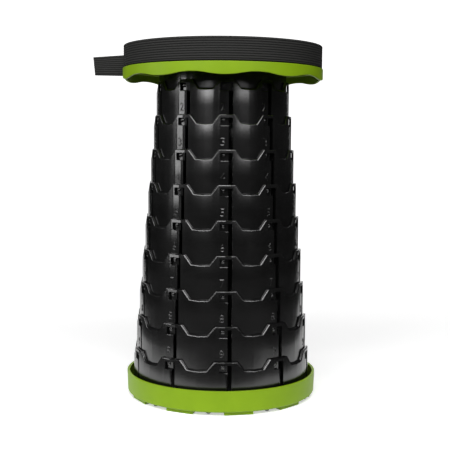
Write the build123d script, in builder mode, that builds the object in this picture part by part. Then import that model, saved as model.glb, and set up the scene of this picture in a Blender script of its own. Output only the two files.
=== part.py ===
"""Telescopic stool: ten nested rings that lift between a base dish and a round seat.

Millimetres, +Z up, origin on the ground under the middle of the base. The front
of the stool faces -Y, and the stool stands drawn out to its full height.
"""

import os
from math import cos, degrees, radians, sin

from build123d import *

os.makedirs("parts", exist_ok=True)

# Rings: how many, their walls, the height that each one adds and its hold in the next
ring_count = 10
panel_count = 10
smallest_ring_radius = 82.0
ring_wall = 2.8
ring_gap = 0.8
tier_travel = 42.5
ring_overlap = 14.5

# Notches between the tabs of a ring's top edge
notch_depth = 12.4
notch_flat_angle = 13.2
notch_slant = 10.5
notch_bevel_angle = 30.0

# Lock of each panel, measured along the ring from its stud: a hooked slot in the
# outer ring, whose pocket holds a stud of the inner one
stud_radius = 2.7
stud_reach = 1.0
stud_draft = 6.0
stud_below_tab = 7.2
lock_clearance = 0.3
pocket_play = 1.1
pocket_sill = 0.5
slot_left = 6.2
slot_width = 5.1
strip_left = 7.5

# Base dish with its foot pads
pad_height = 4.3
pad_width = 12.5
pad_inset = 2.9
pad_angle = 17.5
pad_turn = 10.0
base_floor = 2.7
base_wall = 2.5
base_height = 26.2
base_edge = 1.5
base_flare = 0.9

# Ears of the outermost ring on the base, and of the innermost one under the seat
foot_ear_reach = 5.1
foot_ear_width = 11.0
foot_ear_height = 6.0
foot_ear_clearance = 0.4
tie_ear_reach = 13.0
tie_ear_width = 12.0
tie_ear_thickness = 2.5

# Seat: a cover on a shell with a belt for the strap and a wavy skirt
cover_thickness = 3.0
cover_edge = 1.0
seat_clearance = 0.5
seat_wall = 2.8
seat_ear_width = 12.0
seat_ear_thickness = 2.5
seat_ear_clearance = 1.0
belt_depth = 3.2
skirt_clearance = 2.7
skirt_wall = 2.6
skirt_height = 15.4
skirt_wave = 3.8

# Carrying strap: one loop of webbing with its slack folded out at the back left
strap_width = 28.2
strap_thickness = 1.8
strap_clearance = 0.3
strap_below_top = 0.2
fold_turn = -110.0
fold_reach = 58.5
fold_drop = 6.3
fold_gap = 0.5
fold_root_radius = 3.0
fold_narrowing = 2.0

# Keeper that grips the two layers of the fold beside the seat
keeper_length = 8.0
keeper_cheek = 1.6
keeper_bridge = 1.8
keeper_clearance = 0.2
keeper_distance = 0.5

# Screws
screw_radius = 1.5
screw_play = 0.1
screw_head_radius = 2.8
screw_head_height = 2.0
base_bite = 4.2
cover_bite = 1.9
seat_screw_count = 3


def ring_radius(number):
    """Outer radius of a ring at the corners of its facets."""
    return smallest_ring_radius + (number - 1) * (ring_wall + ring_gap)


def ring_bottom(number):
    """Height of a ring's lower edge with the stool drawn out."""
    return pad_height + base_floor + (ring_count - number) * tier_travel


# Heights that follow from the sizes above
ring_height = tier_travel + ring_overlap
stud_height = ring_overlap - stud_below_tab
pocket_top = ring_height - stud_below_tab + stud_radius + lock_clearance
pocket_floor = tier_travel - pocket_sill
base_rim_top = pad_height + base_height
cover_bottom = ring_bottom(1) + ring_height + seat_clearance
seat_top = cover_bottom + cover_thickness
strap_top = seat_top - strap_below_top
strap_bottom = strap_top - strap_width
skirt_top = strap_bottom - strap_clearance
skirt_bottom = skirt_top - skirt_height

# Widths and radii that follow, from the lock outward to the strap
pocket_left = stud_radius + pocket_play
slot_right = slot_left + slot_width
slot_middle = slot_left + slot_width / 2
panel_pitch = 360 / panel_count
base_inner_radius = ring_radius(ring_count) + foot_ear_reach + foot_ear_clearance
base_radius = base_inner_radius + base_wall
rim_radius = base_radius + base_flare
skirt_inner_radius = rim_radius + skirt_clearance
skirt_radius = skirt_inner_radius + skirt_wall
belt_radius = skirt_radius - belt_depth
shell_inner_radius = belt_radius - seat_wall
seat_ear_end = ring_radius(ring_count) + seat_ear_clearance
strap_inner_radius = belt_radius + strap_clearance
strap_outer_radius = strap_inner_radius + strap_thickness


def around(radius, angle, height=0.0):
    """Point at an angle counted from the front, growing towards the right."""
    turn = radians(angle - 90)
    return Vector(radius * cos(turn), radius * sin(turn), height)


def strip_distance(radius):
    """Distance from the axis to the flat strip that carries the studs."""
    half_width = (strip_left + slot_middle) / 2
    return radius * cos(half_width / radius)


def notch_turn(radius):
    """Angle from a stud to the middle of the next notch, half-way between two locks."""
    return panel_pitch / 2 + degrees(slot_middle / 2 / radius)


def panel_planes(distance, height, turn=0.0, side=1):
    """Upright planes, one for each panel, that face outward, or inward with side -1."""
    planes = []
    for panel in range(panel_count):
        angle = turn + panel * panel_pitch
        planes.append(
            Plane(
                origin=around(distance, angle, height),
                x_dir=around(side, angle + 90),
                z_dir=around(side, angle),
            )
        )
    return planes


def ring_corners(radius):
    """Corners of a ring's facets: the flat strip and two halves of each panel."""
    corners = []
    for panel in range(panel_count):
        for turn in (-degrees(strip_left / radius), degrees(slot_middle / radius), notch_turn(radius)):
            corner = around(radius, panel * panel_pitch + turn)
            corners.append((corner.X, corner.Y))
    return corners


def add_ring_wall(radius, bottom, height):
    """Faceted tube."""
    with BuildSketch(Plane.XY.offset(bottom)) as outline:
        Polygon(*ring_corners(radius), align=None)
        offset(amount=-ring_wall, kind=Kind.INTERSECTION, mode=Mode.SUBTRACT)
    extrude(outline.sketch, amount=height)


def cut_notches(radius, bottom):
    """Sloping notches between the tabs, with bevelled edges that widen outward."""
    half_flat = radius * sin(radians(notch_flat_angle / 2))
    floor = ring_height - notch_depth
    spare_height = 4 * ring_wall
    half_mouth = half_flat + notch_slant / notch_depth * (notch_depth + spare_height)
    with BuildSketch(*panel_planes(radius, bottom, notch_turn(radius), side=-1)) as notches:
        Polygon(
            (-half_flat, floor),
            (half_flat, floor),
            (half_mouth, ring_height + spare_height),
            (-half_mouth, ring_height + spare_height),
            align=None,
        )
    extrude(notches.sketch, amount=4 * ring_wall, taper=notch_bevel_angle, mode=Mode.SUBTRACT)


def cut_locks(radius, bottom):
    """Hooked slot through the wall, and a relief behind the strip for the stud's way down."""
    face = strip_distance(radius)
    start = face - 2 * ring_wall
    with BuildSketch(*panel_planes(start, bottom)) as hooks:
        Polygon(
            (-pocket_left, pocket_floor),
            (slot_left, pocket_floor),
            (slot_left, -ring_gap),
            (slot_right, -ring_gap),
            (slot_right, pocket_top),
            (-pocket_left, pocket_top),
            align=None,
        )
    extrude(hooks.sketch, amount=3 * ring_wall, mode=Mode.SUBTRACT)
    with BuildSketch(*panel_planes(start, bottom)) as reliefs:
        Polygon(
            (-pocket_left, -ring_gap),
            (slot_left, -ring_gap),
            (slot_left, pocket_floor),
            (-pocket_left, pocket_floor),
            align=None,
        )
    extrude(reliefs.sketch, amount=ring_wall + stud_reach + lock_clearance, mode=Mode.SUBTRACT)


def add_studs(radius, bottom):
    """Tapered lock studs near the lower edge, reaching into the next ring's wall."""
    root = ring_wall / 4
    with BuildSketch(*panel_planes(strip_distance(radius) - root, bottom)) as studs:
        with Locations((0, stud_height)):
            RegularPolygon(stud_radius, 6)
    extrude(studs.sketch, amount=root + ring_gap + stud_reach, taper=stud_draft)


def screw_places(radius, turn, count):
    """Points on a circle for a set of screws."""
    return [around(radius, turn + place * 360 / count) for place in range(count)]


# Screw circles: base to outermost ring, seat shell to cover, innermost ring to cover
foot_screw_radius = ring_radius(ring_count) + foot_ear_reach / 2
foot_screw_turn = pad_turn - panel_pitch / 2
foot_screw_places = screw_places(foot_screw_radius, foot_screw_turn, panel_count)
seat_screw_places = screw_places((seat_ear_end + shell_inner_radius) / 2, 0, seat_screw_count)
tie_screw_radius = ring_radius(1) - ring_wall - tie_ear_reach / 2
tie_screw_places = screw_places(tie_screw_radius, 0, seat_screw_count)


def add_screws(places, head_base, length):
    """Screws that point upward, each with its head under head_base."""
    with BuildSketch(Plane.XY.offset(head_base - screw_head_height)) as heads:
        with Locations(*places):
            RegularPolygon(screw_head_radius, 6)
    extrude(heads.sketch, amount=screw_head_height)
    with BuildSketch(Plane.XY.offset(head_base)) as shanks:
        with Locations(*places):
            RegularPolygon(screw_radius, 6)
    extrude(shanks.sketch, amount=length)


def cut_screw_holes(places, start, depth):
    """Holes that take the screw shanks with a little play."""
    with BuildSketch(Plane.XY.offset(start)) as holes:
        with Locations(*places):
            RegularPolygon(screw_radius + screw_play, 6)
    extrude(holes.sketch, amount=depth, mode=Mode.SUBTRACT)


def add_ears(near, far, width, turn, count, start, thickness):
    """Flat ears that stand off a ring's wall, from one radius to another."""
    with BuildSketch(Plane.XY.offset(start)) as ears:
        with PolarLocations((near + far) / 2, count, start_angle=turn - 90):
            Rectangle(far - near, width)
    extrude(ears.sketch, amount=thickness)


# Rings, from the innermost under the seat to the outermost on the base
for number in range(1, ring_count + 1):
    radius = ring_radius(number)
    bottom = ring_bottom(number)
    wall_middle = strip_distance(radius) - ring_wall / 2
    with BuildPart() as ring:
        if number == 1:
            add_ring_wall(radius, bottom, ring_height + seat_clearance)
            tie_bottom = cover_bottom - tie_ear_thickness
            tie_end = radius - ring_wall - tie_ear_reach
            add_ears(tie_end, wall_middle, tie_ear_width, 0, seat_screw_count, tie_bottom, tie_ear_thickness)
            cut_screw_holes(tie_screw_places, tie_bottom, tie_ear_thickness)
        else:
            add_ring_wall(radius, bottom, ring_height)
            cut_notches(radius, bottom)
            cut_locks(radius, bottom)
        if number < ring_count:
            add_studs(radius, bottom)
        else:
            foot_end = radius + foot_ear_reach
            add_ears(
                wall_middle, foot_end, foot_ear_width, foot_screw_turn, panel_count, bottom, foot_ear_height
            )
            cut_screw_holes(foot_screw_places, bottom, base_bite + screw_play)
    ring.part.label = f"ring_{number:02d}"
    export_step(ring.part, f"parts/ring_{number:02d}.step")

# Base dish
with BuildPart() as base_dish:
    with BuildSketch(Plane.XZ):
        with BuildLine():
            Polyline(
                (0, pad_height),
                (base_radius - base_edge, pad_height),
                (base_radius, pad_height + base_edge),
                (rim_radius, base_rim_top),
                (base_inner_radius, base_rim_top),
                (base_inner_radius, pad_height + base_floor),
                (0, pad_height + base_floor),
                close=True,
            )
        make_face()
    revolve(axis=Axis.Z)
    cut_screw_holes(foot_screw_places, pad_height, base_floor)
base_dish.part.label = "base_dish"
export_step(base_dish.part, "parts/base_dish.step")

# Foot pads under the base
pad_outer_radius = base_radius - pad_inset
pad_inner_radius = pad_outer_radius - pad_width
with BuildPart() as foot_pads:
    with BuildSketch():
        for panel in range(panel_count):
            left = pad_turn + panel * panel_pitch - pad_angle / 2
            right = left + pad_angle
            Polygon(
                around(pad_inner_radius, left),
                around(pad_inner_radius, right),
                around(pad_outer_radius, right),
                around(pad_outer_radius, left),
                align=None,
            )
    extrude(amount=pad_height)
foot_pads.part.label = "foot_pads"
export_step(foot_pads.part, "parts/foot_pads.step")

# Screws from below through the base into the outermost ring
with BuildPart() as base_screws:
    add_screws(foot_screw_places, pad_height, base_floor + base_bite)
base_screws.part.label = "base_screws"
export_step(base_screws.part, "parts/base_screws.step")

# Seat shell: a belt with ears under the cover, and a skirt with a wavy lower edge
seat_ear_bottom = cover_bottom - seat_ear_thickness
with BuildPart() as seat_shell:
    with BuildSketch(Plane.XZ):
        with BuildLine():
            Polyline(
                (belt_radius, cover_bottom),
                (belt_radius, skirt_top),
                (skirt_radius, skirt_top),
                (skirt_radius, skirt_bottom),
                (skirt_inner_radius, skirt_bottom),
                (skirt_inner_radius, skirt_top - seat_wall),
                (shell_inner_radius, skirt_top - seat_wall),
                (shell_inner_radius, cover_bottom),
                close=True,
            )
        make_face()
    revolve(axis=Axis.Z)
    half_wave = skirt_radius * sin(radians(panel_pitch / 2))
    middle_rise = skirt_wave / 2
    with BuildSketch(*panel_planes(seat_ear_end, skirt_bottom, panel_pitch / 2)):
        with BuildLine():
            TangentArc((-half_wave, 0), (-half_wave / 2, middle_rise), tangent=(1, 0))
            ThreePointArc((-half_wave / 2, middle_rise), (0, skirt_wave), (half_wave / 2, middle_rise))
            TangentArc((half_wave, 0), (half_wave / 2, middle_rise), tangent=(-1, 0))
            Line((half_wave, 0), (-half_wave, 0))
        make_face()
    extrude(amount=2 * (skirt_radius - seat_ear_end), mode=Mode.SUBTRACT)
    wall_middle = shell_inner_radius + seat_wall / 2
    add_ears(
        seat_ear_end, wall_middle, seat_ear_width, 0, seat_screw_count, seat_ear_bottom, seat_ear_thickness
    )
    cut_screw_holes(seat_screw_places, seat_ear_bottom, seat_ear_thickness)
seat_shell.part.label = "seat_shell"
export_step(seat_shell.part, "parts/seat_shell.step")

# Seat cover on the shell and the innermost ring
with BuildPart() as seat_cover:
    with BuildSketch(Plane.XY.offset(cover_bottom)):
        Circle(belt_radius)
    extrude(amount=cover_thickness)
    chamfer(seat_cover.edges().sort_by(Axis.Z)[-1], cover_edge)
    cut_screw_holes(seat_screw_places, cover_bottom, cover_bite + screw_play)
    cut_screw_holes(tie_screw_places, cover_bottom, cover_bite + screw_play)
seat_cover.part.label = "seat_cover"
export_step(seat_cover.part, "parts/seat_cover.step")

# Screws from below that hold the shell, and then the innermost ring, to the cover
with BuildPart() as seat_screws:
    add_screws(seat_screw_places, seat_ear_bottom, seat_ear_thickness + cover_bite)
seat_screws.part.label = "seat_screws"
export_step(seat_screws.part, "parts/seat_screws.step")

with BuildPart() as tie_screws:
    add_screws(tie_screw_places, cover_bottom - tie_ear_thickness, tie_ear_thickness + cover_bite)
tie_screws.part.label = "tie_screws"
export_step(tie_screws.part, "parts/tie_screws.step")

# Strap: a band round the belt, whose two ends run out side by side to a fold that hangs a little lower
fold_half = strap_thickness + fold_gap / 2
fold_tip = strap_outer_radius + fold_reach
fold_top = strap_top - fold_drop
fold_bottom = strap_bottom - fold_drop
leg_start = strap_inner_radius - strap_thickness
leg_length = fold_tip - strap_thickness - leg_start
leg_middle = leg_start + leg_length / 2
band_plan = Plane(origin=(0, 0, strap_bottom), x_dir=around(1, fold_turn), z_dir=(0, 0, 1))
fold_plan = band_plan.offset(-fold_drop)
fold_side = Plane(origin=(0, 0, 0), x_dir=around(1, fold_turn), z_dir=around(1, fold_turn - 90))
with BuildPart() as carry_strap:
    with BuildSketch(band_plan):
        Circle(strap_outer_radius)
        Circle(strap_inner_radius, mode=Mode.SUBTRACT)
        with Locations((leg_middle, 0)):
            Rectangle(leg_length, fold_gap, mode=Mode.SUBTRACT)
    extrude(amount=strap_width)
    with BuildSketch(band_plan) as fold:
        Circle(strap_outer_radius)
        with Locations((leg_middle + strap_thickness / 2, 0)):
            Rectangle(leg_length + strap_thickness, 2 * fold_half)
        with Locations((leg_middle, 0)):
            Rectangle(leg_length, fold_gap, mode=Mode.SUBTRACT)
        corners = fold.vertices().filter_by(lambda v: abs(abs(v.Y) - fold_half) < fold_gap / 10)
        fillet(corners.sort_by(Axis.X)[:2], fold_root_radius)
        chamfer(corners.sort_by(Axis.X)[-2:], strap_thickness / 2)
        Circle((strap_inner_radius + strap_outer_radius) / 2, mode=Mode.SUBTRACT)
    extrude(amount=strap_width - fold_drop)
    with BuildSketch(fold_plan):
        add(fold.sketch_local)
        Circle(skirt_radius + strap_clearance, mode=Mode.SUBTRACT)
    extrude(amount=fold_drop)
    with BuildSketch(fold_side):
        for edge, inward in ((fold_top, -fold_narrowing), (fold_bottom, fold_narrowing)):
            Polygon(
                (strap_outer_radius + fold_root_radius, edge),
                (fold_tip + fold_gap, edge),
                (fold_tip + fold_gap, edge + inward),
                align=None,
            )
    extrude(amount=2 * fold_half, both=True, mode=Mode.SUBTRACT)
carry_strap.part.label = "carry_strap"
export_step(carry_strap.part, "parts/carry_strap.step")

# Keeper: a frame round the two layers of the fold
keeper_start = strap_outer_radius + fold_root_radius + keeper_distance
keeper_place = (keeper_start + keeper_length / 2, fold_bottom + strap_width / 2)
window_height = strap_width + 2 * keeper_clearance
window_depth = fold_half + keeper_clearance
with BuildPart() as strap_keeper:
    with BuildSketch(fold_side):
        with Locations(keeper_place):
            Rectangle(keeper_length, window_height + 2 * keeper_bridge)
    extrude(amount=window_depth + keeper_cheek, both=True)
    with BuildSketch(fold_side):
        with Locations(keeper_place):
            Rectangle(keeper_length, window_height)
    extrude(amount=window_depth, both=True, mode=Mode.SUBTRACT)
strap_keeper.part.label = "strap_keeper"
export_step(strap_keeper.part, "parts/strap_keeper.step")
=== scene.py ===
"""Looks of the telescopic stool: moulded rings, stud caps, numbers, webbing, screws and materials.

Metres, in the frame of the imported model: +Z up, the front of the stool faces -Y. Angles round
the axis are in degrees, count from the front and grow towards the right.
"""

from math import atan2, cos, degrees, pi, radians, sin, sqrt, tan

import bmesh
import bpy
from mathutils import Matrix, Vector


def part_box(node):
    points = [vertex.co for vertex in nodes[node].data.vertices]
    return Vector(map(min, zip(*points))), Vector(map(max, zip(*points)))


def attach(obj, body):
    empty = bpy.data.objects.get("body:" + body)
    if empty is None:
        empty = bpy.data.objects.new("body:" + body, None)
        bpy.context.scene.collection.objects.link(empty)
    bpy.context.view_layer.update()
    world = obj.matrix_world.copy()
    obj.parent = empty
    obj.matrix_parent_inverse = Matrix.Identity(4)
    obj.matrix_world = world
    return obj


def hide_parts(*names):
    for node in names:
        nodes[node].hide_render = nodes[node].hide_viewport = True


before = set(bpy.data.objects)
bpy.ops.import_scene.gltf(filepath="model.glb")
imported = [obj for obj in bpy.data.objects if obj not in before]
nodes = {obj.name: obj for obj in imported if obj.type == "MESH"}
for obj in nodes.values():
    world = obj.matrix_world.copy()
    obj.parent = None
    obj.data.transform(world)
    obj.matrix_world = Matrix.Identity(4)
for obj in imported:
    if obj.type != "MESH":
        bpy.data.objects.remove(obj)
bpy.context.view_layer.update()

# Rings of the stool. A strip with a stud runs from its left edge to the middle of its slot on the right
mm = 0.001
ring_count = 10
panel_count = 10
panel_pitch = 360 / panel_count
smallest_ring_radius = 82.0 * mm
ring_step = 3.6 * mm
strip_left = 7.5 * mm
slot_middle = 8.75 * mm

# Finish of the rings: rounded rims and window edges, and how far the panels curve
weld_distance = 0.005 * mm
flat_angle = radians(0.5)
rim_round = 1.2 * mm
rim_segments = 3
window_round = 0.3 * mm
window_segments = 2
panel_parts = 4
panel_curve = 0.95
sharp_angle = radians(35)

# How far a normal points outward on a ring's face, upward on a rim, and outward at most on a wall
face_outward = 0.93
rim_upward = 0.3
wall_outward = 0.3

# Flat band of a strip: its edges from the stud, and how far the strip dips from them to the corner
# on the left and to the slot on the right
band_left = 5.2 * mm
band_right = 3.0 * mm
corner_dip = 0.3 * mm
slot_dip = 0.6 * mm

# A point this near to a fold, in degrees, lies on it
fold_margin = 0.02

# Floor of a lock window above the ring's lower edge, and how far it rises over the inner ring's edge
window_floor = 42.0 * mm
floor_lift = 1.7 * mm

# How far below the tabs a ring's face starts to lean back, and its slope at the tabs
lean_start = 32 * mm
lean_slope = 0.17

# Rounded edges of the base, the seat and the keeper, and the sharpest turn that stays as it is
shell_round = 0.6 * mm
pad_round = 0.8 * mm
small_round = 0.5 * mm
round_segments = 2
round_limit = radians(25)

# Painted shade inside the base dish, in black: what lies within a radius and above a height
painted_shade_radius = 119.5 * mm
painted_shade_height = 5.3 * mm

# Stud caps, over the lock studs near each ring's lower edge
stud_height = 7.3 * mm
stud_stump = 0.4 * mm
cap_radius = 2.75 * mm
cap_reach = 1.95 * mm
cap_flat_radius = 0.5 * mm
cap_slope = radians(27)
cap_sharp_angle = radians(15)
cap_segments = 32

# Raised numbers on the strips
first_number = 2
last_number = 9
number_height = 9.6 * mm
number_width = 5.4 * mm
number_middle = -0.9 * mm
number_below_tab = 33.5 * mm
number_base = 0.3 * mm
number_bevel = 0.55 * mm
number_slope = radians(27)
font_cap_height = 0.7

# Webbing strap: a band round the seat, and its slack folded out flat
strap_width = 28.2 * mm
strap_thickness = 1.8 * mm
strap_radius = 126.6 * mm
strap_rib_count = 10
rib_depth = 0.55 * mm
rib_fullness = 0.4
rib_steps = 6
fold_turn = -110
fold_gap = 0.5 * mm
fold_reach = 58.5 * mm
fold_drop = 6.3 * mm
fold_narrowing = 2.0 * mm
fold_slant = 2.6 * mm
fold_root_radius = 3.0 * mm

# Screws, with the radius of each circle of them; a head's edge is rounded off at shares of its
# radius and its height
base_screw_circle = 116.95 * mm
base_screw_count = 10
base_screw_turn = -8
seat_screw_circle = 119.0 * mm
tie_screw_circle = 72.7 * mm
seat_screw_count = 3
screw_radius = 1.5 * mm
screw_head_radius = 2.8 * mm
screw_head_height = 2.0 * mm
screw_head_edge = ((0.8, 1), (0.97, 0.8), (1, 0.5), (1, 0))
screw_segments = 24
socket_radius = 1.3 * mm
socket_depth = 1.1 * mm
socket_taper = 0.01 * mm

# Plastics: cloudy colour and fine grain
cloud_scale = 45
cloud_detail = 4
cloud_range = (0.3, 0.7)
grain_scale = 1800
grain_detail = 2
grain_depth = 0.1 * mm
# Black of the painted shade inside the base dish
painted_dish_shade = (0.006, 0.006, 0.006, 1)

# Webbing: pitch of the threads along and across it, how fast a wave texture of scale 1 turns, how
# far the threads shade the ribs, and the shares of a rib's width over which painted shade darkens
# the grooves and a painted shadow darkens the lower edge
thread_pitches = {"X": 0.9 * mm, "Y": 0.7 * mm}
wave_radians_per_metre = 20
thread_waver = 0.6
thread_shade = 0.4
thread_strength = 0.5
thread_depth = 0.2 * mm
groove_shade_range = (0.1, 0.25)
edge_shadow_range = (0.4, 0.7)
webbing_dark = (0.004, 0.004, 0.004)
webbing_light = (0.042, 0.042, 0.04)
webbing_roughness = 0.8
webbing_specular = 0.2

# Stage: a white sheet that lies under the stool and rises behind it, on a wide grey floor
sheet_front = -0.255
sheet_back = 3.0
sheet_bend = 0.5
sheet_bend_steps = 12
sheet_top = 3.0
sheet_narrow = 0.3
sheet_wide = 1.5
sheet_grey = 0.85
floor_reach = 6.0
floor_grey = 0.05
floor_roughness = 0.9

# Glow of the sheet, for the rays that see it: places along y, and the strength at each
glow_places = (0.3, 2.0)
glow_strengths = (0.5, 1.0)

# Light all round, and the place on the stool that the lamps point at
world_strength = 0.03
lamp_target = Vector((0, 0, 0.3))

# Camera of the photograph
camera_place = Vector((-0.0176, -1.2043, 0.3229))
camera_yaw = radians(1.034)
camera_pitch = radians(4.88)
camera_roll = radians(0.414)
camera_lens = 73.83
camera_sensor = 36
camera_clip_start = 0.05


# Places and names
def around(radius, angle, height=0.0):
    """Point at an angle counted from the front."""
    turn = radians(angle - 90)
    return Vector((radius * cos(turn), radius * sin(turn), height))


def angle_at(place):
    """Angle of a point, counted from the front."""
    return degrees(atan2(place.y, place.x)) + 90


def outward_at(place):
    """Level direction from the axis to a point."""
    return Vector((place.x, place.y, 0)).normalized()


def axes_frame(place, right, up, outward):
    """Matrix of a place with its x, y and z directions."""
    return Matrix.Translation(place) @ Matrix((right, up, outward)).transposed().to_4x4()


def upright_frame(distance, angle, height):
    """Matrix of a plane on a ring's face: x to the right, y up, z outward."""
    place = around(distance, angle, height)
    return axes_frame(place, around(1, angle + 90), Vector((0, 0, 1)), around(1, angle))


def ring_radius(number):
    """Outer radius of a ring at the corners of its facets."""
    return smallest_ring_radius + (number - 1) * ring_step


def strip_distance(number):
    """Distance from the axis to the flat strip that carries the studs."""
    radius = ring_radius(number)
    return radius * cos((strip_left + slot_middle) / 2 / radius)


def ring_node(number):
    """Name of a ring's node."""
    return f"ring_{number:02d}"


def ring_body(number):
    """Name of the body that a ring belongs to."""
    if number == 1:
        return "seat"
    if number == ring_count:
        return "base"
    return f"tier_{number:02d}"


# Building of pieces
def finished_mesh(bm, name):
    """Mesh with the faces that were built."""
    mesh = bpy.data.meshes.new(name)
    bm.to_mesh(mesh)
    bm.free()
    return mesh


def new_piece(mesh, body, slot, smooth=True):
    """Object of a mesh, with its name, that rides on a body and takes a finish."""
    piece = bpy.data.objects.new(mesh.name, mesh)
    bpy.context.scene.collection.objects.link(piece)
    for face in mesh.polygons:
        face.use_smooth = smooth
    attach(piece, body)
    piece.data.materials.append(materials[slot])
    return piece


def add_turned(bm, matrix, profile, segments, shape=None):
    """Turned body on a plane's z axis, from points (radius, height), of which the last is on the axis.

    shape may change the radius of each point at each angle.
    """
    loops = []
    for radius, height in profile:
        if radius == 0:
            loops.append([bm.verts.new(matrix @ Vector((0, 0, height)))])
            continue
        loop = []
        for step in range(segments):
            angle = 2 * pi * step / segments
            reach = shape(radius, angle) if shape else radius
            loop.append(bm.verts.new(matrix @ Vector((reach * cos(angle), reach * sin(angle), height))))
        loops.append(loop)
    for low, high in zip(loops, loops[1:]):
        for step in range(segments):
            after = (step + 1) % segments
            if len(low) == 1:
                bm.faces.new((low[0], high[after], high[step]))
            elif len(high) == 1:
                bm.faces.new((low[step], low[after], high[0]))
            else:
                bm.faces.new((low[step], low[after], high[after], high[step]))


def soften(name, material, width):
    """Material, rounded edges and smooth shading for a node that keeps its shape."""
    node = nodes[name]
    node.data.materials.clear()
    node.data.materials.append(material)
    for face in node.data.polygons:
        face.use_smooth = True
    weld = node.modifiers.new("join", "WELD")
    weld.merge_threshold = weld_distance
    flat = node.modifiers.new("flat", "DECIMATE")
    flat.decimate_type = "DISSOLVE"
    flat.angle_limit = flat_angle
    bevel = node.modifiers.new("edges", "BEVEL")
    bevel.width = width
    bevel.segments = round_segments
    bevel.limit_method = "ANGLE"
    bevel.angle_limit = round_limit
    shading = node.modifiers.new("shading", "WEIGHTED_NORMAL")
    shading.keep_sharp = True


# Nodes of the materials
def new_material(name):
    """Material with its node tree and its shader."""
    material = bpy.data.materials.new(name)
    material.use_nodes = True
    return material, material.node_tree, material.node_tree.nodes["Principled BSDF"]


def calculate(tree, operation, *values):
    """Output of a Math node; each value is a number or another output."""
    node = tree.nodes.new("ShaderNodeMath")
    node.operation = operation
    for socket, value in zip(node.inputs, values):
        if isinstance(value, bpy.types.NodeSocket):
            tree.links.new(value, socket)
        else:
            socket.default_value = value
    return node.outputs["Value"]


def remap(tree, value, from_range, to_range=(0, 1)):
    """Output of a Map Range node, which takes one range of a value to another."""
    node = tree.nodes.new("ShaderNodeMapRange")
    node.inputs["From Min"].default_value = from_range[0]
    node.inputs["From Max"].default_value = from_range[1]
    node.inputs["To Min"].default_value = to_range[0]
    node.inputs["To Max"].default_value = to_range[1]
    tree.links.new(value, node.inputs["Value"])
    return node.outputs["Result"]


def noise(tree, place, scale, detail):
    """Output of a noise texture."""
    node = tree.nodes.new("ShaderNodeTexNoise")
    node.inputs["Scale"].default_value = scale
    node.inputs["Detail"].default_value = detail
    tree.links.new(place, node.inputs["Vector"])
    return node.outputs["Fac"]


def object_place(tree):
    """Output with the place on the object."""
    return tree.nodes.new("ShaderNodeTexCoord").outputs["Object"]


def split_axes(tree, place):
    """Outputs X, Y and Z of a place."""
    axes = tree.nodes.new("ShaderNodeSeparateXYZ")
    tree.links.new(place, axes.inputs["Vector"])
    return axes.outputs


def colour_ramp(tree, value, value_range, dark, light):
    """Output of a colour that runs from dark to light over a range of a value."""
    node = tree.nodes.new("ShaderNodeValToRGB")
    for element, position, colour in zip(node.color_ramp.elements, value_range, (dark, light)):
        element.position = position
        element.color = (*colour, 1)
    tree.links.new(value, node.inputs["Fac"])
    return node.outputs["Color"]


def bumped(tree, height, strength, distance):
    """Bump node for a height."""
    node = tree.nodes.new("ShaderNodeBump")
    node.inputs["Strength"].default_value = strength
    node.inputs["Distance"].default_value = distance
    tree.links.new(height, node.inputs["Height"])
    return node


def seen_rays(tree):
    """Output that is 1 for camera, glossy and transmission rays."""
    rays = tree.nodes.new("ShaderNodeLightPath").outputs
    seen = calculate(tree, "MAXIMUM", rays["Is Camera Ray"], rays["Is Glossy Ray"])
    return calculate(tree, "MAXIMUM", seen, rays["Is Transmission Ray"])


# Materials
def plastic(name, dark, light, roughness, grain, specular):
    """Moulded plastic: cloudy colour, uneven gloss and a fine grain."""
    material, tree, shader = new_material(name)
    shader.inputs["Specular IOR Level"].default_value = specular
    place = object_place(tree)
    cloud = noise(tree, place, cloud_scale, cloud_detail)
    colour = colour_ramp(tree, cloud, cloud_range, dark, light)
    tree.links.new(colour, shader.inputs["Base Color"])
    tree.links.new(remap(tree, cloud, (0, 1), roughness), shader.inputs["Roughness"])
    fine = noise(tree, place, grain_scale, grain_detail)
    bump = bumped(tree, fine, grain, grain_depth)
    tree.links.new(bump.outputs["Normal"], shader.inputs["Normal"])
    return material


def ring_plastic(name):
    """Black satin plastic of the rings."""
    return plastic(
        name,
        dark=(0.003, 0.003, 0.003),
        light=(0.005, 0.005, 0.005),
        roughness=(0.18, 0.27),
        grain=0.06,
        specular=0.9,
    )


def green_plastic(name):
    """Bright green plastic of the base and the seat."""
    return plastic(
        name,
        dark=(0.215, 0.36, 0.005),
        light=(0.235, 0.39, 0.006),
        roughness=(0.42, 0.54),
        grain=0.08,
        specular=0.25,
    )


def keeper_plastic(name):
    """Dark grey plastic of the strap's keeper."""
    return plastic(
        name,
        dark=(0.012, 0.012, 0.012),
        light=(0.018, 0.018, 0.018),
        roughness=(0.4, 0.55),
        grain=0.15,
        specular=0.4,
    )


def screw_steel(name):
    """Blackened steel of the screws, with an uneven gloss."""
    material = plastic(
        name,
        dark=(0.03, 0.03, 0.032),
        light=(0.06, 0.06, 0.062),
        roughness=(0.3, 0.5),
        grain=0.15,
        specular=0.5,
    )
    material.node_tree.nodes["Principled BSDF"].inputs["Metallic"].default_value = 0.9
    return material


def leaning_plastic(name, tab_top):
    """Plastic of a ring whose face seems to lean back a little below its tabs, as moulded panels do."""
    material = ring_plastic(name)
    tree = material.node_tree
    shader = tree.nodes["Principled BSDF"]
    grain = tree.nodes["Bump"]
    height = split_axes(tree, object_place(tree))["Z"]
    above = calculate(tree, "SUBTRACT", height, tab_top - lean_start)
    upper = calculate(tree, "MAXIMUM", above, 0)
    square = calculate(tree, "POWER", upper, 2)
    depth = calculate(tree, "MULTIPLY", square, -lean_slope / (2 * lean_start))
    lean = bumped(tree, depth, strength=1, distance=1)
    tree.links.new(grain.outputs["Normal"], lean.inputs["Normal"])
    tree.links.new(lean.outputs["Normal"], shader.inputs["Normal"])
    return material


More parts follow.
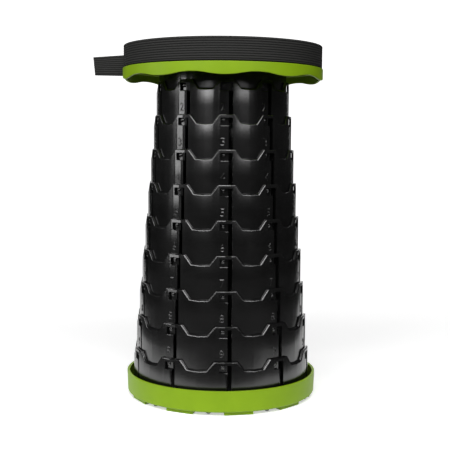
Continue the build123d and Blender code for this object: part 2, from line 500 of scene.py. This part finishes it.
def dish_plastic(name):
    """Green plastic of the base dish, with black painted shade inside it."""
    material = green_plastic(name)
    tree = material.node_tree
    shader = tree.nodes["Principled BSDF"]
    axes = split_axes(tree, object_place(tree))
    plan = tree.nodes.new("ShaderNodeCombineXYZ")
    tree.links.new(axes["X"], plan.inputs["X"])
    tree.links.new(axes["Y"], plan.inputs["Y"])
    reach = tree.nodes.new("ShaderNodeVectorMath")
    reach.operation = "LENGTH"
    tree.links.new(plan.outputs["Vector"], reach.inputs[0])
    # Paints shade in black over the inside of the dish, within a radius and above a height
    within = calculate(tree, "LESS_THAN", reach.outputs["Value"], painted_shade_radius)
    above = calculate(tree, "GREATER_THAN", axes["Z"], painted_shade_height)
    paint = tree.nodes.new("ShaderNodeMix")
    paint.data_type = "RGBA"
    paint.inputs["B"].default_value = painted_dish_shade
    tree.links.new(calculate(tree, "MULTIPLY", within, above), paint.inputs["Factor"])
    tree.links.new(tree.nodes["Color Ramp"].outputs["Color"], paint.inputs["A"])
    tree.links.new(paint.outputs["Result"], shader.inputs["Base Color"])
    return material


def thread_wave(tree, place, direction, pitch):
    """Output of a wave texture with one wave for each thread."""
    node = tree.nodes.new("ShaderNodeTexWave")
    node.bands_direction = direction
    node.inputs["Scale"].default_value = 2 * pi / (wave_radians_per_metre * pitch)
    node.inputs["Distortion"].default_value = thread_waver
    node.inputs["Detail"].default_value = 1
    tree.links.new(place, node.inputs["Vector"])
    return node.outputs["Fac"]


def strap_webbing(name):
    """Dark woven webbing: crossing threads on ribs, from the weave's own map, with painted shade in the
    grooves and a painted shadow along the lower edge.
    """
    material, tree, shader = new_material(name)
    shader.inputs["Roughness"].default_value = webbing_roughness
    shader.inputs["Specular IOR Level"].default_value = webbing_specular
    weave_map = tree.nodes.new("ShaderNodeUVMap")
    weave_map.uv_map = "weave"
    place = weave_map.outputs["UV"]
    across = split_axes(tree, place)["Y"]
    rib_pitch = strap_width / strap_rib_count
    from_groove = calculate(tree, "PINGPONG", across, rib_pitch / 2)
    # Painted shade: the colour darkens in the grooves between the ribs
    groove_shade = remap(tree, from_groove, [share * rib_pitch for share in groove_shade_range])
    # Painted shadow: the colour darkens along the strap's lower edge
    edge = remap(tree, across, [share * rib_pitch for share in edge_shadow_range])
    threads = [thread_wave(tree, place, *thread) for thread in thread_pitches.items()]
    weave = calculate(tree, "MULTIPLY", *threads)
    shade = calculate(tree, "MULTIPLY_ADD", weave, thread_shade, 1 - thread_shade)
    shade = calculate(tree, "MULTIPLY", shade, groove_shade)
    shade = calculate(tree, "MULTIPLY", shade, edge)
    colour = colour_ramp(tree, shade, (0, 1), webbing_dark, webbing_light)
    tree.links.new(colour, shader.inputs["Base Color"])
    bump = bumped(tree, weave, thread_strength, thread_depth)
    tree.links.new(bump.outputs["Normal"], shader.inputs["Normal"])
    return material


def grey_floor(name):
    """Matt grey of the floor."""
    material, _, shader = new_material(name)
    shader.inputs["Base Color"].default_value = (floor_grey, floor_grey, floor_grey, 1)
    shader.inputs["Roughness"].default_value = floor_roughness
    return material


def white_sheet(name):
    """Matt white that glows for the rays that see it, more towards the back."""
    material, tree, _ = new_material(name)
    tree.nodes.clear()
    matt = tree.nodes.new("ShaderNodeBsdfDiffuse")
    matt.inputs["Color"].default_value = (sheet_grey, sheet_grey, sheet_grey, 1)
    along = split_axes(tree, object_place(tree))["Y"]
    strength = remap(tree, along, glow_places, glow_strengths)
    glow = tree.nodes.new("ShaderNodeEmission")
    tree.links.new(calculate(tree, "MULTIPLY", seen_rays(tree), strength), glow.inputs["Strength"])
    both = tree.nodes.new("ShaderNodeAddShader")
    tree.links.new(matt.outputs["BSDF"], both.inputs[0])
    tree.links.new(glow.outputs["Emission"], both.inputs[1])
    surface = tree.nodes.new("ShaderNodeOutputMaterial")
    tree.links.new(both.outputs["Shader"], surface.inputs["Surface"])
    return material


materials = {
    "ring_plastic": ring_plastic("ring_plastic"),
    "green_plastic": green_plastic("green_plastic"),
    "strap_webbing": strap_webbing("strap_webbing"),
    "keeper_plastic": keeper_plastic("keeper_plastic"),
    "screw_steel": screw_steel("screw_steel"),
}


# Rings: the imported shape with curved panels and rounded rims
def panel_angle(place, radius):
    """Angle from the last stud, from the left edge of its strip, included, to that of the next strip."""
    start = -degrees(strip_left / radius) - fold_margin
    return (angle_at(place) - start) % panel_pitch + start


def panel_corners(radius):
    """Angles of the corners of a panel: end of the strip, crease and start of the next strip."""
    crease = panel_pitch / 2 + degrees(slot_middle / 2 / radius)
    return degrees(slot_middle / radius), crease, panel_pitch - degrees(strip_left / radius)


def is_rim(normal, outward):
    """Whether a face beside the ring's outer face is a rim."""
    return normal.z > rim_upward


def is_wall(normal, outward):
    """Whether a face beside the ring's outer face is a wall of a window or a slot, or a lower edge."""
    return normal.z <= rim_upward and normal.dot(outward) < wall_outward


def round_edges(bm, wanted, width, segments, clamp):
    """Rounds the edges between a ring's outer face and the faces that are wanted."""
    edges = []
    for edge in bm.edges:
        if len(edge.link_faces) != 2:
            continue
        outward = outward_at((edge.verts[0].co + edge.verts[1].co) / 2)
        one, other = edge.link_faces
        if other.normal.dot(outward) > one.normal.dot(outward):
            one, other = other, one
        if one.normal.dot(outward) > face_outward and wanted(other.normal, outward):
            edges.append(edge)
    bmesh.ops.bevel(
        bm,
        geom=edges,
        offset=width,
        offset_type="OFFSET",
        segments=segments,
        profile=0.5,
        affect="EDGES",
        clamp_overlap=clamp,
    )


def trim_studs(bm, number):
    """Cuts the plain studs down to stumps, which the stud caps cover."""
    for vertex in bm.verts:
        outward = around(1, panel_pitch * round(angle_at(vertex.co) / panel_pitch))
        above = vertex.co.dot(outward) - strip_distance(number)
        if above > stud_stump:
            vertex.co -= (above - stud_stump) * outward


def lift_floors(bm, number):
    """Raises the floors of the windows a little, so that no gap shows under the inner ring."""
    floor_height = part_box(ring_node(number))[0].z + window_floor
    for vertex in bm.verts:
        if abs(vertex.co.z - floor_height) < weld_distance:
            vertex.co.z += floor_lift


def cut_lines(bm, angles):
    """Cuts upright lines into all panels at angles from the stud."""
    for angle in angles:
        for panel in range(panel_count // 2):
            across = around(1, angle + panel * panel_pitch + 90)
            everything = bm.verts[:] + bm.edges[:] + bm.faces[:]
            bmesh.ops.bisect_plane(bm, geom=everything, plane_co=(0, 0, 0), plane_no=across)


def moulded_ring(number):
    """Mesh of a ring: rounded rims and window edges, dipping strips and curved panels."""
    radius = ring_radius(number)
    bm = bmesh.new()
    bm.from_mesh(nodes[ring_node(number)].data)
    bmesh.ops.remove_doubles(bm, verts=bm.verts, dist=weld_distance)
    trim_studs(bm, number)
    lift_floors(bm, number)
    bmesh.ops.dissolve_limit(bm, angle_limit=flat_angle, verts=bm.verts, edges=bm.edges)
    round_edges(bm, is_rim, rim_round, rim_segments, clamp=False)
    round_edges(bm, is_wall, window_round, window_segments, clamp=True)
    end, crease, start = panel_corners(radius)
    corner = start - panel_pitch
    band_start = -degrees(band_left / radius)
    band_end = degrees(band_right / radius)
    cuts = [band_start, band_end]
    for low, high in ((end, crease), (crease, start)):
        cuts += [low + (high - low) * part / panel_parts for part in range(1, panel_parts)]
    cut_lines(bm, cuts)
    for vertex in bm.verts:
        angle = panel_angle(vertex.co, radius)
        outward = outward_at(vertex.co)
        if angle > end:
            low, high = (end, crease) if angle < crease else (crease, start)
            facet = radius * cos(radians(high - low) / 2) / cos(radians(angle - (low + high) / 2))
            vertex.co += outward * panel_curve * (radius - facet)
        elif angle > band_end:
            vertex.co -= outward * slot_dip * (angle - band_end) / (end - band_end)
        elif angle < band_start:
            vertex.co -= outward * corner_dip * (band_start - angle) / (band_start - corner)
    bm.normal_update()
    folds = (corner, band_start, band_end, end, crease)
    for edge in bm.edges:
        edge.smooth = len(edge.link_faces) == 2 and edge.calc_face_angle() < sharp_angle
        turns = [panel_angle(vertex.co, radius) for vertex in edge.verts]
        if all(min(abs(turn - fold) for fold in folds) < fold_margin for turn in turns):
            edge.smooth = False
    return finished_mesh(bm, f"moulded_{ring_node(number)}")


for number in range(1, ring_count + 1):
    node = ring_node(number)
    ring = new_piece(moulded_ring(number), ring_body(number), "ring_plastic")
    ring.data.materials[0] = leaning_plastic(f"{node}_plastic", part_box(node)[1].z)
    ring.modifiers.new("shading", "WEIGHTED_NORMAL").keep_sharp = True
    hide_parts(node)

# Base, seat and keeper
soften("base_dish", dish_plastic("base_plastic"), shell_round)
soften("foot_pads", materials["green_plastic"], pad_round)
soften("seat_shell", materials["green_plastic"], shell_round)
soften("seat_cover", materials["green_plastic"], small_round)
soften("strap_keeper", materials["keeper_plastic"], small_round)

# Stud caps: blunt cones over the lock studs
cap_side = cap_reach - (cap_radius - cap_flat_radius) * tan(cap_slope)
cap_profile = [(cap_radius, 0), (cap_radius, cap_side), (cap_flat_radius, cap_reach), (0, cap_reach)]
for number in range(1, ring_count):
    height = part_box(ring_node(number))[0].z + stud_height
    bm = bmesh.new()
    for panel in range(panel_count):
        face = upright_frame(strip_distance(number), panel * panel_pitch, height)
        add_turned(bm, face, cap_profile, cap_segments)
    mesh = finished_mesh(bm, f"stud_caps_{number:02d}")
    new_piece(mesh, ring_body(number), "ring_plastic")
    mesh.set_sharp_from_angle(angle=cap_sharp_angle)


# Raised numbers, one on each strip of a ring
def digit_mesh(number):
    """Mesh of a digit with bevelled edges, and the matrix that centres it and fits it to its size."""
    text = bpy.data.curves.new(f"number_{number}", "FONT")
    text.body = str(number)
    text.size = number_height / font_cap_height
    text.offset = -number_bevel
    text.extrude = number_base
    text.bevel_depth = number_bevel
    text.bevel_resolution = 0
    shape = bpy.data.objects.new(text.name, text)
    bpy.context.scene.collection.objects.link(shape)
    bpy.context.view_layer.update()
    digit = bpy.data.meshes.new_from_object(shape.evaluated_get(bpy.context.evaluated_depsgraph_get()))
    bpy.data.objects.remove(shape)
    corners = [vertex.co for vertex in digit.vertices]
    lowest = Vector([min(corner[axis] for corner in corners) for axis in range(3)])
    highest = Vector([max(corner[axis] for corner in corners) for axis in range(3)])
    middle = (lowest + highest) / 2
    size = highest - lowest
    fit = Matrix.Diagonal((number_width / size.x, number_height / size.y, tan(number_slope), 1))
    return digit, fit @ Matrix.Translation((-middle.x, -middle.y, 0))


for number in range(first_number, last_number + 1):
    digit, fit = digit_mesh(number)
    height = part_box(ring_node(number))[1].z - number_below_tab
    bm = bmesh.new()
    for panel in range(panel_count):
        face = upright_frame(strip_distance(number), panel * panel_pitch, height)
        copy = digit.copy()
        copy.transform(face @ Matrix.Translation((number_middle, 0, 0)) @ fit)
        bm.from_mesh(copy)
        bpy.data.meshes.remove(copy)
    mesh = finished_mesh(bm, f"ring_numbers_{number:02d}")
    new_piece(mesh, ring_body(number), "ring_plastic", smooth=False)

# Strap: the route of the loop in plan, with x along the fold and y across it
layer = (strap_thickness + fold_gap) / 2
bend_radius = fold_root_radius + strap_thickness / 2
bend_y = layer + bend_radius
bend_x = sqrt((strap_radius + bend_radius) ** 2 - bend_y**2)
bend_angle = atan2(bend_y, bend_x)
fold_tip = strap_radius + strap_thickness / 2 + fold_reach
hairpin_x = fold_tip - strap_thickness / 2 - layer


def strap_route():
    """Points of the loop's middle line with their outward directions in radians."""
    route = []
    band_steps = 150
    for step in range(band_steps + 1):
        angle = bend_angle + (2 * pi - 2 * bend_angle) * step / band_steps
        route.append((Vector((strap_radius * cos(angle), strap_radius * sin(angle))), angle))
    bend_steps = 6
    for step in range(1, bend_steps + 1):
        turn = (pi / 2 - bend_angle) * step / bend_steps
        angle = pi - bend_angle - turn
        centre = Vector((bend_x, -bend_y))
        route.append((centre + bend_radius * Vector((cos(angle), sin(angle))), angle + pi))
    leg_steps = 24
    for step in range(1, leg_steps + 1):
        along = bend_x + (hairpin_x - bend_x) * step / leg_steps
        route.append((Vector((along, -layer)), -pi / 2))
    hairpin_steps = 10
    for step in range(1, hairpin_steps + 1):
        angle = -pi / 2 + pi * step / hairpin_steps
        route.append((Vector((hairpin_x, 0)) + layer * Vector((cos(angle), sin(angle))), angle))
    for step in range(1, leg_steps + 1):
        along = hairpin_x + (bend_x - hairpin_x) * step / leg_steps
        route.append((Vector((along, layer)), pi / 2))
    for step in range(1, bend_steps):
        angle = -pi / 2 - (pi / 2 - bend_angle) * step / bend_steps
        centre = Vector((bend_x, bend_y))
        route.append((centre + bend_radius * Vector((cos(angle), sin(angle))), angle + pi))
    return route


def ease(value):
    """Smooth step from 0 to 1."""
    value = min(max(value, 0), 1)
    return value * value * (3 - 2 * value)


def rib_section():
    """Closed outline across the strap: place from the lower edge, 0 to 1, and offset from the middle."""
    count = strap_rib_count * rib_steps
    outer = []
    for step in range(count + 1):
        across = step / count
        rise = abs(sin(pi * strap_rib_count * across)) ** rib_fullness
        outer.append((across, strap_thickness / 2 - rib_depth * (1 - rise)))
    inner = [(across, -offset) for across, offset in reversed(outer)]
    return outer + inner


def strap_mesh(name):
    """Mesh of the loop, with a map of the weave in metres: along the strap and across it."""
    section = rib_section()
    route = strap_route()
    band_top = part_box("carry_strap")[1].z
    fold_axis = around(1, fold_turn)
    fold_across = around(1, fold_turn + 90)
    bm = bmesh.new()
    weave = bm.loops.layers.uv.new("weave")
    loops = []
    for point, angle in route:
        beyond = point.x - strap_radius if abs(point.y) < 2 * bend_y and point.x > 0 else 0
        drop = fold_drop * ease(beyond / (fold_root_radius + strap_thickness))
        narrowing = fold_narrowing * max(beyond - fold_root_radius, 0) / fold_reach
        low = band_top - strap_width - drop + narrowing
        high = band_top - drop - narrowing
        outward = Vector((cos(angle), sin(angle)))
        loop = []
        for across, offset in section:
            flat = point + offset * outward
            flat.x -= fold_slant * (1 - across) * max(beyond, 0) / fold_reach
            place = fold_axis * flat.x + fold_across * flat.y
            loop.append(bm.verts.new((place.x, place.y, low + (high - low) * across)))
        loops.append(loop)
    loops.append(loops[0])
    points = [point for point, angle in route]
    travels = [0.0]
    for near, far in zip(points, points[1:] + points[:1]):
        travels.append(travels[-1] + (far - near).length)
    for row, (near, far) in enumerate(zip(loops, loops[1:])):
        for column in range(len(section)):
            after = (column + 1) % len(section)
            face = bm.faces.new((near[column], far[column], far[after], near[after]))
            places = ((row, column), (row + 1, column), (row + 1, after), (row, after))
            for corner, (along, side) in zip(face.loops, places):
                corner[weave].uv = (travels[along], section[side][0] * strap_width)
    return finished_mesh(bm, name)


strap = new_piece(strap_mesh("strap_loop"), "seat", "strap_webbing")
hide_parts("carry_strap")


# Screws with a six-sided socket, in place of the plain ones
def socket_shape(radius, angle):
    """Six-sided for the points of the socket, round for the rest."""
    if radius > socket_radius:
        return radius
    sixth = pi / 3
    return radius * cos(sixth / 2) / cos((angle + sixth / 2) % sixth - sixth / 2)


def screw_mesh(name, places, head_base, length):
    """Screws that point upward, each with its head under head_base."""
    socket_floor = socket_depth - screw_head_height
    profile = [
        (0, socket_floor),
        (socket_radius, socket_floor),
        (socket_radius + socket_taper, -screw_head_height),
    ]
    for radius_share, height_share in screw_head_edge:
        profile.append((radius_share * screw_head_radius, -height_share * screw_head_height))
    profile += [(screw_radius, 0), (screw_radius, length), (0, length)]
    bm = bmesh.new()
    for place in places:
        axis = Matrix.Translation((place.x, place.y, head_base))
        add_turned(bm, axis, profile, screw_segments, socket_shape)
    return finished_mesh(bm, name)


for node, body, radius, count, turn in (
    ("base_screws", "base", base_screw_circle, base_screw_count, base_screw_turn),
    ("seat_screws", "seat", seat_screw_circle, seat_screw_count, 0),
    ("tie_screws", "seat", tie_screw_circle, seat_screw_count, 0),
):
    low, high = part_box(node)
    head_base = low.z + screw_head_height
    places = [around(radius, turn + place * 360 / count) for place in range(count)]
    mesh = screw_mesh(f"{node}_detailed", places, head_base, high.z - head_base)
    screws = new_piece(mesh, body, "screw_steel", smooth=False)
    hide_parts(node)


# Stage
def stage_strip(name, line, material):
    """Strip across x that follows a line of points (half width, y, z)."""
    mesh = bpy.data.meshes.new(name)
    points = [(side * half_width, y, z) for half_width, y, z in line for side in (-1, 1)]
    faces = [(row, row + 1, row + 3, row + 2) for row in range(0, len(points) - 2, 2)]
    mesh.from_pydata(points, [], faces)
    mesh.materials.append(material)
    for face in mesh.polygons:
        face.use_smooth = True
    strip = bpy.data.objects.new(name, mesh)
    bpy.context.scene.collection.objects.link(strip)


sheet_line = [(sheet_narrow, sheet_front, 0)]
for step in range(sheet_bend_steps + 1):
    angle = pi / 2 * step / sheet_bend_steps
    sheet_line.append((sheet_wide, sheet_back + sheet_bend * sin(angle), sheet_bend * (1 - cos(angle))))
sheet_line.append((sheet_wide, sheet_back + sheet_bend, sheet_top))
floor_line = [(floor_reach, -floor_reach, -mm), (floor_reach, floor_reach, -mm)]
stage_strip("white_sheet", sheet_line, white_sheet("white_sheet"))
stage_strip("floor", floor_line, grey_floor("floor"))

# World: soft light all round
scene = bpy.context.scene
world = bpy.data.worlds.new("studio")
scene.world = world
world.use_nodes = True
background = world.node_tree.nodes["Background"]
background.inputs["Color"].default_value = (1, 1, 1, 1)
background.inputs["Strength"].default_value = world_strength


# Lamps
def add_lamp(name, place, size, power):
    """Soft oblong lamp that points at the stool; its size is its width and its height."""
    lamp = bpy.data.lights.new(name, "AREA")
    lamp.shape = "RECTANGLE"
    lamp.size = size[0]
    lamp.size_y = size[1]
    lamp.energy = power
    holder = bpy.data.objects.new(name, lamp)
    holder.location = place
    holder.rotation_euler = (lamp_target - Vector(place)).to_track_quat("-Z", "Y").to_euler()
    scene.collection.objects.link(holder)


add_lamp("key_left", place=(-0.7, -1.35, 0.72), size=(0.5, 0.2), power=2.9)
add_lamp("key_right", place=(0.88, -1.28, 0.72), size=(0.5, 0.2), power=1.5)
add_lamp("strip_left", place=(-1.3, -0.42, 0.64), size=(0.16, 0.76), power=2.5)
add_lamp("side_left", place=(-1.5, -0.05, 0.95), size=(0.5, 0.4), power=3)
add_lamp("front", place=(0, -1.35, 1.2), size=(0.6, 0.4), power=3)
add_lamp("top", place=(0, -1.15, 1.6), size=(2.8, 0.6), power=42)

# Camera
forward = Vector(
    (sin(camera_yaw) * cos(camera_pitch), cos(camera_yaw) * cos(camera_pitch), -sin(camera_pitch))
)
level_right = Vector((cos(camera_yaw), -sin(camera_yaw), 0))
level_up = level_right.cross(forward)
right = cos(camera_roll) * level_right + sin(camera_roll) * level_up
up = cos(camera_roll) * level_up - sin(camera_roll) * level_right
view = bpy.data.cameras.new("camera")
view.sensor_fit = "HORIZONTAL"
view.sensor_width = camera_sensor
view.lens = camera_lens
view.clip_start = camera_clip_start
camera = bpy.data.objects.new("camera", view)
camera.matrix_world = axes_frame(camera_place, right, up, -forward)
scene.collection.objects.link(camera)
scene.camera = camera
scene.view_settings.view_transform = "Standard"
